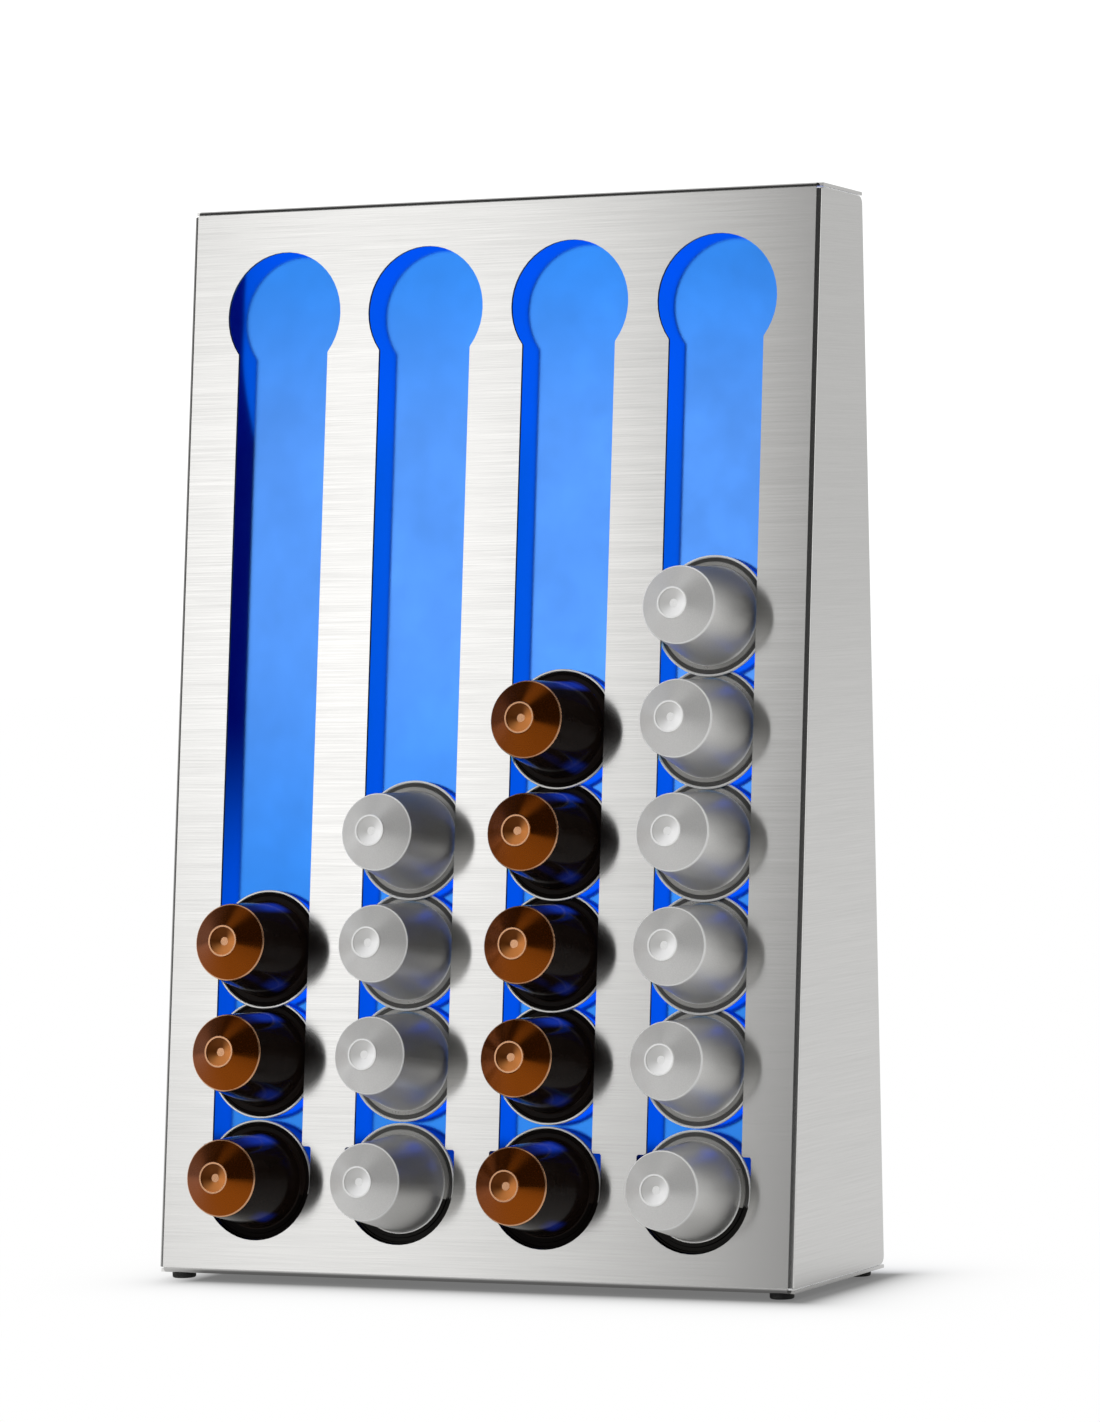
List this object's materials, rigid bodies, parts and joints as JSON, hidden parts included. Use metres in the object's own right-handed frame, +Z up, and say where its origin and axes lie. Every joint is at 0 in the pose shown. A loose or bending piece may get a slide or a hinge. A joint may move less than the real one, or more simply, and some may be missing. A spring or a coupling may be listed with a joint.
{
  "type": "coffee capsule holder",
  "caption": "Free-standing gravity-fed coffee capsule holder: leaning folded steel casing with keyhole slots over a blue liner, capsules stacked in the slots.",
  "frame": {"origin": "on the standing surface, under the middle of the whole object", "axes": "+Z up, the front with the slots faces -Y, +X to the right seen from the front"},
  "size_m": [0.2148, 0.095, 0.3326],
  "materials": {
    "steel": "brushed across the front",
    "blue": "mirror-bright blue",
    "zinc": "zinc plated",
    "rubber": "matte",
    "silver": "satin",
    "brown": "brown metallic nose, glossy dark body",
    "foil": "bright foil"
  },
  "bodies": {
    "casing": {"casing": "steel", "blue_liner": "blue", "liner_studs": "zinc", "spacer_sleeves": "zinc", "liner_washers": "zinc", "liner_nuts": "zinc", "foot_front_left": "rubber", "foot_front_right": "rubber", "foot_rear_left": "rubber", "foot_rear_right": "rubber"},
    "column1_capsule1": {"column1_capsule1_cup": "brown", "column1_capsule1_lid": "foil"},
    "column1_capsule2": {"column1_capsule2_cup": "brown", "column1_capsule2_lid": "foil"},
    "column1_capsule3": {"column1_capsule3_cup": "brown", "column1_capsule3_lid": "foil"},
    "column2_capsule1": {"column2_capsule1_cup": "silver", "column2_capsule1_lid": "foil"},
    "column2_capsule2": {"column2_capsule2_cup": "silver", "column2_capsule2_lid": "foil"},
    "column2_capsule3": {"column2_capsule3_cup": "silver", "column2_capsule3_lid": "foil"},
    "column2_capsule4": {"column2_capsule4_cup": "silver", "column2_capsule4_lid": "foil"},
    "column3_capsule1": {"column3_capsule1_cup": "brown", "column3_capsule1_lid": "foil"},
    "column3_capsule2": {"column3_capsule2_cup": "brown", "column3_capsule2_lid": "foil"},
    "column3_capsule3": {"column3_capsule3_cup": "brown", "column3_capsule3_lid": "foil"},
    "column3_capsule4": {"column3_capsule4_cup": "brown", "column3_capsule4_lid": "foil"},
    "column3_capsule5": {"column3_capsule5_cup": "brown", "column3_capsule5_lid": "foil"},
    "column4_capsule1": {"column4_capsule1_cup": "silver", "column4_capsule1_lid": "foil"},
    "column4_capsule2": {"column4_capsule2_cup": "silver", "column4_capsule2_lid": "foil"},
    "column4_capsule3": {"column4_capsule3_cup": "silver", "column4_capsule3_lid": "foil"},
    "column4_capsule4": {"column4_capsule4_cup": "silver", "column4_capsule4_lid": "foil"},
    "column4_capsule5": {"column4_capsule5_cup": "silver", "column4_capsule5_lid": "foil"},
    "column4_capsule6": {"column4_capsule6_cup": "silver", "column4_capsule6_lid": "foil"}
  },
  "joints": [
    {"name": "column1_pull_out", "type": "slide", "parent": "casing", "child": "column1_capsule1", "axis": [0, -0.9931, 0.1175], "range_m": [0, 0.045]},
    {"name": "column1_capsule2_slide", "type": "slide", "parent": "casing", "child": "column1_capsule2", "axis": [0, 0.1175, 0.9931], "range_m": [0, 0.19827]},
    {"name": "column1_capsule3_slide", "type": "slide", "parent": "casing", "child": "column1_capsule3", "axis": [0, 0.1175, 0.9931], "range_m": [0, 0.19827]},
    {"name": "column2_pull_out", "type": "slide", "parent": "casing", "child": "column2_capsule1", "axis": [0, -0.9931, 0.1175], "range_m": [0, 0.045]},
    {"name": "column2_capsule2_slide", "type": "slide", "parent": "casing", "child": "column2_capsule2", "axis": [0, 0.1175, 0.9931], "range_m": [0, 0.16432]},
    {"name": "column2_capsule3_slide", "type": "slide", "parent": "casing", "child": "column2_capsule3", "axis": [0, 0.1175, 0.9931], "range_m": [0, 0.16432]},
    {"name": "column2_capsule4_slide", "type": "slide", "parent": "casing", "child": "column2_capsule4", "axis": [0, 0.1175, 0.9931], "range_m": [0, 0.16432]},
    {"name": "column3_pull_out", "type": "slide", "parent": "casing", "child": "column3_capsule1", "axis": [0, -0.9931, 0.1175], "range_m": [0, 0.045]},
    {"name": "column3_capsule2_slide", "type": "slide", "parent": "casing", "child": "column3_capsule2", "axis": [0, 0.1175, 0.9931], "range_m": [0, 0.13037]},
    {"name": "column3_capsule3_slide", "type": "slide", "parent": "casing", "child": "column3_capsule3", "axis": [0, 0.1175, 0.9931], "range_m": [0, 0.13037]},
    {"name": "column3_capsule4_slide", "type": "slide", "parent": "casing", "child": "column3_capsule4", "axis": [0, 0.1175, 0.9931], "range_m": [0, 0.13037]},
    {"name": "column3_capsule5_slide", "type": "slide", "parent": "casing", "child": "column3_capsule5", "axis": [0, 0.1175, 0.9931], "range_m": [0, 0.13037]},
    {"name": "column4_pull_out", "type": "slide", "parent": "casing", "child": "column4_capsule1", "axis": [0, -0.9931, 0.1175], "range_m": [0, 0.045]},
    {"name": "column4_capsule2_slide", "type": "slide", "parent": "casing", "child": "column4_capsule2", "axis": [0, 0.1175, 0.9931], "range_m": [0, 0.09642]},
    {"name": "column4_capsule3_slide", "type": "slide", "parent": "casing", "child": "column4_capsule3", "axis": [0, 0.1175, 0.9931], "range_m": [0, 0.09642]},
    {"name": "column4_capsule4_slide", "type": "slide", "parent": "casing", "child": "column4_capsule4", "axis": [0, 0.1175, 0.9931], "range_m": [0, 0.09642]},
    {"name": "column4_capsule5_slide", "type": "slide", "parent": "casing", "child": "column4_capsule5", "axis": [0, 0.1175, 0.9931], "range_m": [0, 0.09642]},
    {"name": "column4_capsule6_slide", "type": "slide", "parent": "casing", "child": "column4_capsule6", "axis": [0, 0.1175, 0.9931], "range_m": [0, 0.09642]}
  ],
  "couplings": [
    {"joint": "column1_capsule3_slide", "follows": "column1_capsule2_slide", "ratio": 1},
    {"joint": "column2_capsule3_slide", "follows": "column2_capsule2_slide", "ratio": 1},
    {"joint": "column2_capsule4_slide", "follows": "column2_capsule2_slide", "ratio": 1},
    {"joint": "column3_capsule3_slide", "follows": "column3_capsule2_slide", "ratio": 1},
    {"joint": "column3_capsule4_slide", "follows": "column3_capsule2_slide", "ratio": 1},
    {"joint": "column3_capsule5_slide", "follows": "column3_capsule2_slide", "ratio": 1},
    {"joint": "column4_capsule3_slide", "follows": "column4_capsule2_slide", "ratio": 1},
    {"joint": "column4_capsule4_slide", "follows": "column4_capsule2_slide", "ratio": 1},
    {"joint": "column4_capsule5_slide", "follows": "column4_capsule2_slide", "ratio": 1},
    {"joint": "column4_capsule6_slide", "follows": "column4_capsule2_slide", "ratio": 1}
  ]
}
